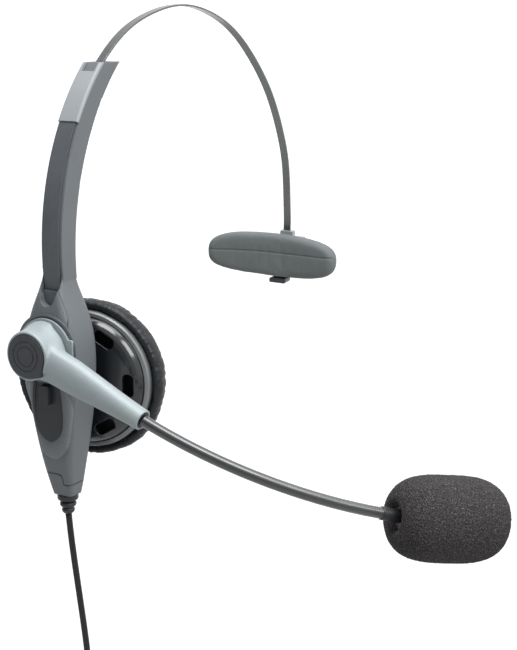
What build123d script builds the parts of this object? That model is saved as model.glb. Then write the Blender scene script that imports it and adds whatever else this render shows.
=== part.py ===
# Office headset for one ear: an earpiece with a swing boom, a steel headband
# with a temple pad, and a lead to a quick-release plug. Millimetres, +Z up.
# +X runs from the ear towards the temple pad and -Y is the wearer's front.
# The origin is the middle of the ear cushion's face, where the ear sits.
#
# Shapes are drawn in the hub frame, whose origin is the middle of the boom
# hub's outer face, and save() moves them to the part's own frame. The ear cup
# and the temple pad have frames of their own, turned about the vertical.
from math import acos, cos, pi, radians, sin, tan

from build123d import *
import os

# Earpiece: arm and housing
ARM_CENTRE = (95.9, 29.9)      # centre of the arm's arc, X and Z
ARM_OUTER_R = 82.4
ARM_HALF_WIDTH = 3.9
ARM_TOP_Z = 88.5               # the arm's open end is cut level
ARM_EXIT_DEG = 132.0           # polar angle where the strip leaves the arm
# the arm's inner side, a flatter arc than its outer side, as X and Z
ARM_INNER_SIDE = [(22.6, 22.0), (27.9, 57.8), (48.6, 88.6)]
ARM_SEAM_DEG = 150.2           # where the upper cover meets the lower one
ARM_FOOT_DEG = 189.0
COVER_THICK = 1.1
HOUSING_OUTER_X = 10.6
HOUSING_INNER_X = 24.9
HOUSING_TOP_Z = 26.0
HOUSING_FOOT_Z = -50.2
CAP_SEAM_Z = -45.8
SEAM_GAP = 0.25
SCOOP_TOP = 3.75               # half width where the lower cover runs in
SCOOP_R = 2.7
SCOOP_Z = 16.4
# Headband strip
STRIP_R = 79.3
STRIP_THICK = 0.6
STRIP_WIDTH = 3.0
STRIP_HIDDEN_DEG = 176.0
# Boom
HUB_R = 7.9
HUB_BASE_R = 9.7
SHAFT_R = 3.0
BOOM_END = (3.4, -41.7, -15.2)
BOOM_END_R = 3.3
GOOSE_R = 1.7
GOOSE_TIP = (38.9, -105.3, -44.2)
GOOSE_YAW = 8.0                # inward angle of the gooseneck where it starts
GOOSE_PITCH = -25.0
MIC_PLACE = (38.9, -105.3, -45.4)
FOAM_R = 13.5
FOAM_LENGTH = 38.0
FOAM_CORNER = 9.0
FOAM_YAW = 51.0
FOAM_PITCH = -9.0
# Ear cup
CUP_PIVOT = (28.0, 0.0, -14.4)
CUP_YAW = 10.0
CUSHION_R = 26.6
CUSHION_HOLE_R = 12.6
CUSHION_FACE = 13.2            # from the pivot to the cushion's face
BASKET_R = 21.6
BASKET_BACK = -0.6             # from the pivot to the basket's back face
SLOT_R = 16.9                  # sound slots around the back face
# Temple pad
PAD_PLACE = (166.4, 0.0, 8.2)
PAD_YAW = 10.0
PAD_ROLL = 3.0                 # its back end sits higher
PAD_LENGTH = 53.6
PAD_SHIFT = 1.9                # the pad reaches further behind its pivot
PAD_HEIGHT = 17.1
PAD_THICK = 7.8
PAD_BACK = 5.6                 # from the strip to the pad's back
PAD_BACK_R = 97.0
# Lead
CORD_D = 2.3
COIL_R = 13.2                  # mean radius of the wound turns
COIL_BUILD = 7.4               # width and height of the wound section
CORD_TURNS = 8.5
TIE_DEG = -60.0                # from the top of the coil, about X
# Running clearance of a pin in its hole
FIT = 0.05

CUP_FACE = (
    CUP_PIVOT[0] + CUSHION_FACE * cos(radians(CUP_YAW)),
    CUP_PIVOT[1] + CUSHION_FACE * sin(radians(CUP_YAW)),
    CUP_PIVOT[2],
)
TO_PART = Pos(-CUP_FACE[0], -CUP_FACE[1], -CUP_FACE[2])
CUP = Location(CUP_PIVOT, (0, 0, CUP_YAW))
PAD = Pos(*PAD_PLACE) * Rot(0, 0, PAD_YAW) * Rot(PAD_ROLL, 0, 0)

os.makedirs("parts", exist_ok=True)


def save(name, shape):
    """Write one sub-part, moved from the hub frame to the part's frame."""
    export_step(TO_PART * shape, f"parts/{name}.step")


# Small helpers


def polar(r, deg):
    """A point on the arm's arc, as X and Z."""
    a = radians(deg)
    return (ARM_CENTRE[0] + r * cos(a), ARM_CENTRE[1] + r * sin(a))


def prism_y(edges, y_front, y_back):
    """A prism along Y from edges drawn in X and Z."""
    plane = Plane((0, y_back, 0), x_dir=(1, 0, 0), z_dir=(0, -1, 0))
    return extrude(plane * make_face(edges), y_back - y_front)


def prism_x(edges, x_low, x_high):
    """A prism along X from edges drawn in Y and Z."""
    plane = Plane((x_low, 0, 0), x_dir=(0, 1, 0), z_dir=(1, 0, 0))
    return extrude(plane * make_face(edges), x_high - x_low)


def sector(r_low, r_high, deg_low, deg_high, half_width):
    """A slice of the arm's arc, symmetric about the arm's middle plane."""
    mid = (deg_low + deg_high) / 2
    edges = [
        ThreePointArc(polar(r_high, deg_low), polar(r_high, mid), polar(r_high, deg_high)),
        Line(polar(r_high, deg_high), polar(r_low, deg_high)),
        ThreePointArc(polar(r_low, deg_high), polar(r_low, mid), polar(r_low, deg_low)),
        Line(polar(r_low, deg_low), polar(r_high, deg_low)),
    ]
    return prism_y(edges, -half_width, half_width)


def rod(start, end, r, r_end=None):
    """A round rod, or a cone, between two points."""
    way = Vector(*end) - Vector(*start)
    plane = Plane(start, z_dir=way)
    if r_end is None:
        return extrude(plane * Circle(r), way.length)
    far = Plane(end, x_dir=plane.x_dir, z_dir=way)
    return loft([plane * Circle(r), far * Circle(r_end)])


def disc_x(x_low, x_high, r, y=0.0, z=0.0, hole=0.0):
    """A disc or washer whose axis runs along X."""
    ring = rod((x_low, y, z), (x_high, y, z), r)
    if hole:
        ring -= rod((x_low - 1, y, z), (x_high + 1, y, z), hole)
    return ring


def block(x, y, z):
    """A box from its low and high value on each axis."""
    size = [high - low for low, high in (x, y, z)]
    return Pos(*[(low + high) / 2 for low, high in (x, y, z)]) * Box(*size)


def spin(points, corner=0.0):
    """A solid turned about X from a profile of points (x, radius)."""
    face = make_face(Polyline(*points, close=True))
    if corner:
        face = fillet(face.vertices().filter_by(lambda v: v.Y > 0.1), corner)
    return revolve(face, Axis.X)


def heading(yaw, pitch):
    """A direction yaw degrees inward from the wearer's front."""
    a = radians(yaw)
    b = radians(pitch)
    return Vector(sin(a) * cos(b), -cos(a) * cos(b), sin(b))


# Earpiece


def housing_body():
    """The whole housing before it is split: a leaf that thins to its foot."""
    # height, half width in Y, outer X and inner X of each section
    sections = [
        (HOUSING_TOP_Z, ARM_HALF_WIDTH, 13.6, 22.6),
        (20.5, 4.1, 12.9, 22.8),
        (12.4, 6.9, HOUSING_OUTER_X + 0.3, 24.4),
        (3.0, 9.3, HOUSING_OUTER_X, HOUSING_INNER_X),
        (-8.0, 9.7, HOUSING_OUTER_X, HOUSING_INNER_X),
        (-22.0, 8.3, HOUSING_OUTER_X + 0.2, HOUSING_INNER_X),
        (-34.0, 6.4, 11.9, 24.3),
        (-45.0, 4.7, 14.2, 22.9),
        (HOUSING_FOOT_Z, 3.8, 15.6, 22.0),
    ]
    faces = []
    for z, half, x_out, x_in in sections:
        at = Pos((x_out + x_in) / 2, 0, z)
        faces.append(at * RectangleRounded(x_in - x_out, 2 * half, min(2.6, half * 0.36)))
    return loft(faces)


def face_oval(half_width, z_top, z_foot, x_low, x_high):
    """A prism with the rounded outline of the housing's outer cover."""
    z_wide = z_top - (z_top - z_foot) * 0.32
    points = [(0, z_foot), (half_width, z_wide), (half_width * 0.9, z_top)]
    right = Spline(*points, tangents=[(1, 0.25), (0, 1)])
    left = mirror(right, Plane.YZ)
    return prism_x([right, left, Line(right @ 1, left @ 1)], x_low, x_high)


def arm_core():
    """The curved arm under its two covers, cut level at its open end."""
    r = ARM_OUTER_R - COVER_THICK
    foot, top = polar(r, ARM_FOOT_DEG), polar(r, ARM_EXIT_DEG - 8)
    inner_foot, inner_mid, inner_top = ARM_INNER_SIDE
    edges = [
        ThreePointArc(foot, polar(r, 160), top),
        Line(top, inner_top),
        ThreePointArc(inner_top, inner_mid, inner_foot),
        Line(inner_foot, foot),
    ]
    core = prism_y(edges, -ARM_HALF_WIDTH, ARM_HALF_WIDTH)
    core = core & block((0, 80), (-5, 5), (0, ARM_TOP_Z))
    long_edges = core.edges().filter_by(lambda e: e.length > 50)
    return fillet(long_edges.sort_by(lambda e: e.center().X)[-2:], 0.9)


def earpiece():
    """The arm, the housing and everything that is fixed to them."""
    body = housing_body()
    # a U-shaped scoop lets the arm's lower cover run down into the housing
    scoop = prism_x(
        [
            Line((-SCOOP_TOP, 30), (-SCOOP_TOP, 19.6)),
            Line((-SCOOP_TOP, 19.6), (-SCOOP_R, SCOOP_Z)),
            ThreePointArc((-SCOOP_R, SCOOP_Z), (0, SCOOP_Z - SCOOP_R), (SCOOP_R, SCOOP_Z)),
            Line((SCOOP_R, SCOOP_Z), (SCOOP_TOP, 19.6)),
            Line((SCOOP_TOP, 19.6), (SCOOP_TOP, 30)),
            Line((SCOOP_TOP, 30), (-SCOOP_TOP, 30)),
        ],
        8, 14.2,
    )
    cover_zone = face_oval(8.0, 21.5, -37.0, 8, 12.5)
    cover = (body & cover_zone) - scoop
    shell = body - cover_zone - scoop
    foot_zone = block((8, 28), (-12, 12), (HOUSING_FOOT_Z - 3, CAP_SEAM_Z))
    tab = block((8, 18), (-2.1, 8.0), (CAP_SEAM_Z - 3, CAP_SEAM_Z + 3.8))
    foot_zone += fillet(tab.edges().filter_by(Axis.X), 1.3)
    spigot = block((17.2, 20.6), (-2.0, 2.0), (CAP_SEAM_Z - 1.5, CAP_SEAM_Z + 1.2))
    end_cap = (body & (Pos(0, SEAM_GAP, -SEAM_GAP) * foot_zone)) + spigot
    shell = shell - foot_zone - spigot

    shell += arm_core()
    shell -= sector(ARM_OUTER_R - COVER_THICK, ARM_OUTER_R + 1, ARM_SEAM_DEG + 0.15, 188.4, 3.65)
    shell -= sector(STRIP_R - 0.55, STRIP_R + 0.55, ARM_EXIT_DEG - 9, 184, STRIP_WIDTH / 2 + 0.2)
    # hollow of the housing, open to the cover
    hollow = face_oval(5.0, 9.0, -29.0, 12.5, 21.4)
    shell -= hollow
    cover -= disc_x(8, 14, SHAFT_R + 0.4)
    post = swivel_post()
    save("main_shell", shell - post)
    save("end_cap", end_cap)

    cover_r = ARM_OUTER_R - COVER_THICK
    upper = sector(cover_r, ARM_OUTER_R, ARM_EXIT_DEG - 8, ARM_SEAM_DEG, ARM_HALF_WIDTH)
    upper = upper & block((0, 80), (-5, 5), (0, ARM_TOP_Z))
    long_edges = upper.edges().filter_by(lambda e: e.length > 15)
    upper = fillet(long_edges.sort_by(lambda e: e.center().X)[:2], 0.8)
    upper -= block((0, 80), (-2.6, 2.6), (ARM_TOP_Z - 2.7, ARM_TOP_Z + 1))
    save("arm_upper_cover", upper)
    lower = sector(cover_r, ARM_OUTER_R - 0.35, ARM_SEAM_DEG + 0.15, 188.4, 3.65)
    save("arm_lower_cover", lower)

    ring = disc_x(HOUSING_OUTER_X - 0.35, HOUSING_OUTER_X + 0.1, 11.6, hole=10.7)
    ring = ring & block((9, 12), (-12, 12), (-11, 12))
    save("hub_collar", ring)
    save_cover(cover - ring)
    save("hub_shaft", disc_x(3.2, 14.4, SHAFT_R) + disc_x(14.4, 15.6, 4.2))
    save("shaft_screw", disc_x(2.0, 3.2, 2.6) - block((1.9, 2.6), (-2.0, 2.0), (-0.3, 0.3)))
    board = face_oval(4.4, 6.0, -26.0, 18.4, 19.6)
    save("wire_board", board)
    terminals = [block((16.6, 18.4), (y - 0.8, y + 0.8), (-21, -18)) for y in (-3, -1, 1, 3)]
    save("wire_terminals", Compound(children=terminals))


def save_cover(cover):
    """The outer cover with its sunk oval, and the pieces set in it."""
    x_face = HOUSING_OUTER_X
    sunk = Pos(0, 0.6, 0) * face_oval(5.5, -5.0, -31.4, 8, x_face + 0.8)
    panel = Pos(0, 0.6, 0) * face_oval(5.2, -5.3, -30.9, x_face + 0.8, x_face + 1.2)
    cover = cover - sunk - panel
    save("face_panel", panel)
    stop = block((x_face - 1.1, x_face + 0.8), (-0.6, 3.0), (-18.2, -11.9))
    save("boom_stop", fillet(stop.edges().filter_by(Axis.X), 0.5))
    save("housing_cover", cover)


def swivel_post():
    """The fork on the housing that carries the ear cup's cross piece."""
    x, _, z = CUP_PIVOT
    post = disc_x(HOUSING_INNER_X, HOUSING_INNER_X + 0.5, 5.6, z=z)
    for side in (-1, 1):
        low, high = sorted((z + side * 3.0, z + side * 5.2))
        prong = block((HOUSING_INNER_X + 0.1, x + 1.2), (-1.5, 1.5), (low, high))
        post += prong
    post -= rod((x, 0, z - 8), (x, 0, z + 8), 0.8 + FIT)
    save("swivel_post", post)
    return post


def strain_relief():
    """Three rings that thin down around the lead."""
    relief = Part()
    x = 18.9
    z = HOUSING_FOOT_Z
    for r, height in ((3.5, 2.8), (2.65, 2.1), (2.1, 2.1)):
        relief += Pos(x, 0, z - height / 2) * Cylinder(r, height - 0.4)
        z -= height
    relief += Pos(x, 0, (HOUSING_FOOT_Z + z) / 2) * Cylinder(1.8, HOUSING_FOOT_Z - z)
    save("strain_relief", relief)
    return (x, 0.0, z)


# Boom


def boom():
    """The hub that turns on its shaft, the gooseneck and the microphone."""
    profile = [(0.3, 0), (0.3, HUB_R - 0.4), (0.7, HUB_R), (5.5, HUB_R + 0.5)]
    drum = spin(profile + [(9.3, HUB_BASE_R), (9.3, 0)])
    tip = Vector(*BOOM_END)
    root = Vector(4.9, -2.0, -0.8)
    way = tip - root
    sections = []
    sizes = ((0.0, 6.3, 4.3), (0.35, 5.6, 3.9), (0.7, 4.2, 3.5), (1.0, BOOM_END_R, BOOM_END_R))
    for part, across, thick in sizes:
        plane = Plane(root + way * part, x_dir=(0, -way.Z, way.Y), z_dir=way)
        sections.append(plane * Ellipse(across, thick))
    hub = drum + loft(sections)
    hub -= cap_blank(0.0, -1.0, 1.6)
    hub -= disc_x(1, 3.3, 3.4)
    hub -= disc_x(1, 10, SHAFT_R + FIT)
    socket = rod(tip - way.normalized() * 3, tip + way.normalized(), 2.5)
    hub -= socket
    save("boom_hub", hub)

    cap = cap_blank(0.05, 0.0, 1.5)
    for r in (5.0, 3.4):
        cap -= disc_x(-0.1, 0.2, r, hole=r - 0.6)
    save("hub_cap", cap)
    flange = disc_x(9.3, 10.1, HUB_BASE_R + 0.6, hole=SHAFT_R + FIT)
    flange += block((9.3, 10.1), (-11.0, -6.0), (-3.6, 4.4))
    save("hub_flange", fillet(flange.edges().filter_by(Axis.X), 0.6))

    start = heading(GOOSE_YAW, GOOSE_PITCH)
    path = TangentArc(BOOM_END, GOOSE_TIP, tangent=start)
    neck = sweep(Plane(path @ 0, z_dir=path % 0) * Circle(GOOSE_R), path=path)
    save("gooseneck", neck)
    back = tip - way.normalized() * 3
    ferrule = rod(back, tip, 2.45) - rod(tip - way.normalized() * 0.4, tip + way.normalized(), GOOSE_R)
    save("gooseneck_ferrule", ferrule)
    microphone(neck)


def cap_blank(gap, x_low, x_high):
    """The cap's outline: a circle drawn out to a corner towards the boom."""
    r = HUB_R - 1.0 - gap
    corner = radians(-48)
    reach = r + 1.4
    tip = (-reach * cos(corner), reach * sin(corner))
    spread = acos(r / reach)
    feet = [(-r * cos(corner + a), r * sin(corner + a)) for a in (-spread, spread)]
    sides = [Line(feet[0], tip), Line(tip, feet[1]), Line(feet[1], (0, 0)), Line((0, 0), feet[0])]
    wedge = prism_x(sides, x_low, x_high)
    return disc_x(x_low, x_high, r) + wedge


def microphone(neck):
    """The foam windscreen over the microphone, at the gooseneck's tip."""
    way = heading(FOAM_YAW, FOAM_PITCH)
    frame = Plane(MIC_PLACE, x_dir=way, z_dir=way.cross(Vector(0, 0, 1)))

    start = 2.6
    end = start + FOAM_LENGTH
    foam = spin([(start, 0), (start, FOAM_R), (end, FOAM_R), (end, 0)], FOAM_CORNER)
    foam -= spin([(start - 1, 0), (start - 1, 4.6), (start + 19, 4.6), (start + 19, 0)])
    save("foam_windscreen", frame.location * foam)
    boot = spin([(-0.8, 0), (-0.8, 3.1), (5.0, 3.4), (5.0, 0)])
    save("mic_boot", frame.location * boot - neck)
    capsule = spin([(5.0, 0), (5.0, 4.3), (17.0, 4.3), (17.0, 0)], 0.8)
    save("mic_capsule", frame.location * capsule)


# Headband


def strip_route():
    """The middle line of the strip outside the arm, as X and Z."""
    return [
        polar(STRIP_R, ARM_EXIT_DEG), (56.8, 98.6), (71.0, 103.7), (90.0, 106.3), (107.0, 103.9),
        (124.0, 97.3), (139.6, 85.8), (152.2, 72.0), (161.2, 55.8), (165.7, 40.0), (166.8, 24.5),
        (166.2, 8.0),
    ]


def headband():
    """The spring steel strip, its stop in the arm and the pad's holder."""
    half = STRIP_THICK / 2
    hidden = sector(STRIP_R - half, STRIP_R + half, ARM_EXIT_DEG, STRIP_HIDDEN_DEG, STRIP_WIDTH / 2)
    start = radians(ARM_EXIT_DEG)
    middle = Spline(*strip_route(), tangents=[(sin(start), -cos(start)), (-0.06, -1)])
    sides = [offset_line(middle, side * half) for side in (-1, 1)]
    edges = [sides[0], Line(sides[0] @ 1, sides[1] @ 1), sides[1], Line(sides[1] @ 0, sides[0] @ 0)]
    shown = prism_y(edges, -STRIP_WIDTH / 2, STRIP_WIDTH / 2)
    save("band_strip", hidden + shown)
    shoe_top = STRIP_HIDDEN_DEG + 2.4
    shoe = sector(STRIP_R - 0.45, STRIP_R + 0.45, STRIP_HIDDEN_DEG, shoe_top, STRIP_WIDTH / 2 + 0.1)
    save("band_stop", shoe)

    holder = block((-1.9, 1.9), (-7.0, 7.0), (-6.5, 6.5))
    holder += block((-1.7, 1.7), (-2.6, 2.6), (6.0, 8.6))
    holder = fillet(holder.edges().filter_by(Axis.X).group_by(Axis.Z)[0], 1.6)
    for side in (-1, 1):
        ear = block((-5.2, -1.9), (side * 4.4 - 1.1, side * 4.4 + 1.1), (-1.5, 1.5))
        holder += ear
    holder -= rod((-3.6, -9, 0), (-3.6, 9, 0), 0.8 + FIT)
    save("pad_holder", PAD * holder - shown)
    save("strip_rivet", PAD * disc_x(1.9, 2.6, 1.6, z=5.5))


def offset_line(curve, distance):
    """A spline beside a curve in X and Z, at a set distance from it."""
    points = []
    for i in range(33):
        t = i / 32
        way = curve % t
        at = curve @ t
        points.append((at.X - way.Y * distance, at.Y + way.X * distance))
    ends = [curve % 0, curve % 1]
    return Spline(*points, tangents=[(v.X, v.Y) for v in ends])


def temple_pad():
    """The pad that rests above the other ear. Its own -X faces the head."""
    carrier = block((-4.9, -3.7), (-13.0, 13.0), (-5.0, 5.0)) - block((-6, -1), (-5.7, -3.1), (-2, 2))
    carrier -= block((-6, -1), (3.1, 5.7), (-2, 2))
    carrier += block((-4.9, -2.5), (-2.9, 2.9), (-1.2, 1.2))
    carrier -= rod((-3.6, -9, 0), (-3.6, 9, 0), 0.8)
    save("pad_carrier", PAD * carrier)
    clip = block((-4.9, -3.7), (-3.4, 3.4), (-11.4, -5.0))
    clip += block((-10.0, -3.7), (-3.4, 3.4), (-11.4, -9.5))
    save("pad_clip", PAD * fillet(clip.edges().filter_by(Axis.X), 0.6))
    save("pad_pin", PAD * rod((-3.6, -5.6, 0), (-3.6, 5.6, 0), 0.8))
    outline = pad_outline()
    front = Pos(0, PAD_SHIFT, 0) * prism_x([outline], -PAD_BACK - 20, -PAD_BACK + 4)
    centre = (-PAD_BACK - PAD_BACK_R, PAD_SHIFT, 0)
    curve = Pos(*centre) * (Cylinder(PAD_BACK_R, 40) - Cylinder(PAD_BACK_R - PAD_THICK, 42))
    pad = front & curve & block((-30, 0), (-30, 30), (-20, 20))
    pad = fillet(pad.edges(), 2.2)
    save("temple_pad", PAD * pad)


def pad_outline():
    """The pad's rounded outline, wide in the middle, as Y and Z."""
    half = PAD_LENGTH / 2
    tall = PAD_HEIGHT / 2
    shares = ((1.0, 0.0), (0.95, 0.5), (0.74, 0.82), (0.36, 0.97))
    quarter = [(half * y, tall * z) for y, z in shares]
    top = [(0, tall)]
    ring = quarter + top + [(-y, z) for y, z in reversed(quarter)]
    ring += [(-y, -z) for y, z in quarter[1:]] + [(0, -tall)]
    ring += [(y, -z) for y, z in reversed(quarter[1:])]
    return Spline(*ring, periodic=True)


# Ear cup


def cup_part(name, shape):
    """Save a piece drawn in the ear cup's frame, whose X leaves the pivot."""
    save(name, CUP * shape)


def ear_cup():
    """The cup on its two-axis swivel: basket, speaker and cushion."""
    cross = block((-1.3, 1.3), (-1.3, 1.3), (-1.3, 1.3))
    cross += rod((0, 0, -5.2), (0, 0, 5.2), 0.8)
    cross += rod((0, -5.2, 0), (0, 5.2, 0), 0.8)
    cup_part("swivel_cross", cross)

    back = BASKET_BACK
    r = BASKET_R
    quarter = [radians(15 * i) for i in range(7)]
    outer = [(back + 4.0 * (1 - cos(a)), r - 4.6 + 4.6 * sin(a)) for a in quarter]
    inner = [(back + 1.2 + 2.8 * (1 - cos(a)), r - 5.6 + 4.2 * sin(a)) for a in quarter]
    profile = [(back, 0)] + outer + [(5.4, r), (5.4, r - 1.4)] + inner[::-1] + [(back + 1.2, 0)]
    wall = spin(profile)
    wall += disc_x(back + 1.2, 4.6, 8.4)
    wall -= disc_x(back - 0.1, 3.3, 7.0)
    for side in (-1, 1):
        ear = block((-1.4, 3.4), (side * 4.1 - 1.1, side * 4.1 + 1.1), (-1.5, 1.5))
        wall += ear
    wall -= rod((0, -8, 0), (0, 8, 0), 0.8 + FIT)
    slot = block((back - 1, back + 3), (-3.9, 3.9), (SLOT_R - 1.9, SLOT_R + 1.9))
    slot = fillet(slot.edges().filter_by(Axis.X), 1.7)
    for turn in range(6):
        wall -= Rot(60 * turn + 30, 0, 0) * slot
    cup_part("basket", wall)
    rim = spin([(2.4, r), (2.4, r + 1.2), (3.2, r + 1.6), (5.4, r + 1.6), (5.4, r)])
    cup_part("basket_rim", rim)
    cup_part("driver_magnet", disc_x(4.6, 6.4, 9.0))
    cup_part("driver_frame", disc_x(5.4, 6.4, 21.0, hole=9.0) + disc_x(6.4, 7.2, 21.0, hole=17.5))
    cup_part("driver_cone", spin([(6.6, 0), (6.6, 9.0), (7.0, 17.3), (6.5, 17.3), (6.4, 9.2), (6.4, 0)]))
    cup_part("speaker_grille", disc_x(7.3, 7.9, CUSHION_HOLE_R - 0.3))
    face = CUSHION_FACE
    section = [(3.4, BASKET_R + 1.8), (3.4, CUSHION_R), (face, CUSHION_R), (face, CUSHION_HOLE_R)]
    section += [(7.5, CUSHION_HOLE_R), (7.5, BASKET_R + 1.8)]
    profile = make_face(Polyline(*section, close=True))
    rim_corners = profile.vertices().filter_by(lambda v: v.Y > CUSHION_R - 0.1)
    profile = fillet(rim_corners, 2.9)
    inner = profile.vertices().filter_by(lambda v: v.X > face - 0.1 and v.Y < CUSHION_HOLE_R + 0.1)
    cup_part("ear_cushion", revolve(fillet(inner, 2.6), Axis.X))


# Lead


CORD_ROUTE = [
    (18.9, 0.0, -57.2), (19.5, -0.1, -64.0), (20.7, -0.4, -74.5), (22.1, -1.1, -88.0),
    (23.3, -1.9, -101.0), (24.0, -2.5, -112.0), (24.0, -2.8, -122.0), (23.3, -2.8, -131.0),
]


def corner_radii(route):
    """The largest arc that the two runs beside each corner allow."""
    radii = []
    for before, at, after in zip(route, route[1:], route[2:]):
        a = Vector(*at) - Vector(*before)
        b = Vector(*after) - Vector(*at)
        half = radians(a.get_angle(b)) / 2
        radii.append(0.45 * min(a.length, b.length) / tan(half))
    print("cord radii", [round(r, 1) for r in radii])
    return radii


def cord_tube(name, route):
    """A plain round tube along runs joined by tangent arcs."""
    path = FilletPolyline(*route, radius=corner_radii(route))
    tube = sweep(Plane(route[0], z_dir=path % 0) * Circle(CORD_D / 2), path=path)
    section = pi * CORD_D**2 / 4
    print(name, "volume", round(tube.volume, 2), "section x length", round(section * path.length, 2))
    print(name, "length", round(path.length, 1))
    save(name, tube)


def wound_coil(top):
    """The solid that the wound turns fill, hanging under a point."""
    outer = COIL_R + COIL_BUILD / 2
    x, y, z = top[0], top[1], top[2] - outer
    half = COIL_BUILD / 2
    coil = disc_x(x - half, x + half, outer, y, z, outer - COIL_BUILD)
    save("cord_coil", fillet(coil.edges(), 1.2))
    inside = COIL_BUILD + 0.2
    outside = inside + 1.2
    band = Box(outside, 4.0, outside) - Box(inside, 5.0, inside)
    band += Pos(outside / 2 + 0.6, 0, 0) * Box(1.6, 3.0, 3.6)
    save("cord_tie", Pos(x, y, z) * Rot(TIE_DEG, 0, 0) * Pos(0, 0, COIL_R) * band)
    print("coil centre", (x, y, z), "turns", CORD_TURNS, "wound", round(CORD_TURNS * 2 * pi * COIL_R, 1))
    return (x, y, z - outer)


def plug(top):
    """The quick-release plug at the end of the lead, hanging nose down."""
    x, y, z = top
    boot = rod((x, y, z), (x, y, z - 8.0), 1.9, 3.2)
    save("plug_boot", boot)
    z -= 8.0
    body = block((x - 4.5, x + 4.5), (y - 7.5, y + 7.5), (z - 35.0, z))
    body = fillet(body.edges().filter_by(Axis.Z), 3.2)
    body = fillet(body.faces().sort_by(Axis.Z)[-1].edges(), 2.0)
    nose = block((x - 3.2, x + 3.2), (y - 5.6, y + 5.6), (z - 42.0, z - 35.0))
    nose = fillet(nose.edges().filter_by(Axis.Z), 1.6)
    nose -= block((x - 2.2, x + 2.2), (y - 4.6, y + 4.6), (z - 43.0, z - 36.0))
    for i in range(6):
        at = z - 9.0 - 2.6 * i
        for side in (-1, 1):
            groove = block((x - 3.4, x + 3.4), (y - 0.7, y + 0.7), (at - 0.6, at + 0.6))
            body -= Pos(0, side * 7.3, 0) * groove
    save("plug_body", body)
    save("plug_nose", nose)
    pin = block((x - 1.2, x + 1.2), (y - 0.5, y + 0.5), (z - 41.0, z - 36.0))
    pins = [Pos(0, dy, 0) * pin for dy in (-3, -1, 1, 3)]
    save("plug_contacts", Compound(children=pins))


def lead():
    """The lead, its wound length, its tie and the quick-release plug."""
    cord_tube("cord_lead", CORD_ROUTE)
    bottom = wound_coil(CORD_ROUTE[-1])
    x, y, z = bottom
    tail = [(x, y, z), (x, y - 0.2, z - 5.0), (x + 0.3, y - 0.3, z - 10.5), (x + 0.3, y - 0.3, z - 16.5)]
    cord_tube("cord_tail", tail)
    plug(tail[-1])


if __name__ == "__main__":
    earpiece()
    strain_relief()
    boom()
    headband()
    temple_pad()
    ear_cup()
    lead()
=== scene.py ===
# Looks for a single-ear office headset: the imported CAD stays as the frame, and
# the soft parts, the lead, the gooseneck and the boom's hub get finer pieces.
import math

import bmesh
import bpy
from mathutils import Matrix, Vector, noise


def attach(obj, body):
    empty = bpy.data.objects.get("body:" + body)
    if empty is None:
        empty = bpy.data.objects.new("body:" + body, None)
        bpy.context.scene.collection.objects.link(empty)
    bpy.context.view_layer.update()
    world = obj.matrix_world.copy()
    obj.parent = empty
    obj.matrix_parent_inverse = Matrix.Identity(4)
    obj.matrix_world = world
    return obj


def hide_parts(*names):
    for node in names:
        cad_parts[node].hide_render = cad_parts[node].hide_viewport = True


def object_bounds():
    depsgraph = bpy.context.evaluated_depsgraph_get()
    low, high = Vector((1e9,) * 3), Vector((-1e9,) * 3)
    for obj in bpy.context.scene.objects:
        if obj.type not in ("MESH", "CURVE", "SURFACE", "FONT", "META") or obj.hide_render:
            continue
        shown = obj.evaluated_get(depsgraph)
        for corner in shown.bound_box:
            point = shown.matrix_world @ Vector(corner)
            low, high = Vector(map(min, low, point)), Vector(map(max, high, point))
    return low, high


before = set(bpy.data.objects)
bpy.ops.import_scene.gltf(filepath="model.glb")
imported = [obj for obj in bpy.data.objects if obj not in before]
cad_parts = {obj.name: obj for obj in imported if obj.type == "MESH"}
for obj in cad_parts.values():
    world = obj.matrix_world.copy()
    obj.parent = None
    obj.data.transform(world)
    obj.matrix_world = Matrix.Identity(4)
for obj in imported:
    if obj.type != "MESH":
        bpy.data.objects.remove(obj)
CAD_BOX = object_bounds()

MM = 0.001

# The hub frame, as in the part's source: its origin is the middle of the boom
# hub's outer face, and the part's own origin is the ear cushion's face.
CUP_YAW = math.radians(10.0)
CUP_PIVOT = Vector((28.0, 0.0, -14.4))
CUSHION_FACE = 13.2
CUP_AXIS = Vector((math.cos(CUP_YAW), math.sin(CUP_YAW), 0.0))
ORIGIN = CUP_PIVOT + CUP_AXIS * CUSHION_FACE


def hub(x, y, z):
    """A point of the hub frame, in millimetres, as a point of the part."""
    return (Vector((x, y, z)) - ORIGIN) * MM


# ---------------------------------------------------------------- camera

CAMERA_PLACE = hub(-327.1, -274.4, 106.3)
CAMERA_WAY = Vector((0.8422, 0.4910, -0.2229))
LENS = 77.5

SENSOR = 36.0

camera = bpy.data.objects.new("camera", bpy.data.cameras.new("camera"))
bpy.context.scene.collection.objects.link(camera)
camera.data.lens = LENS
camera.data.sensor_width = SENSOR
camera.data.clip_start = 0.01
camera.data.clip_end = 50.0
camera.location = CAMERA_PLACE
camera.rotation_euler = CAMERA_WAY.to_track_quat("-Z", "Y").to_euler()
bpy.context.scene.camera = camera


# ---------------------------------------------------------------- helpers


def add_mesh(name, verts, faces, body=None, smooth=True):
    """A mesh piece from points and faces, riding on a body."""
    mesh = bpy.data.meshes.new(name)
    mesh.from_pydata([tuple(v) for v in verts], [], faces)
    mesh.update()
    obj = bpy.data.objects.new(name, mesh)
    bpy.context.scene.collection.objects.link(obj)
    if smooth:
        mesh.shade_smooth()
    if body:
        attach(obj, body)
    return obj


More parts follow.
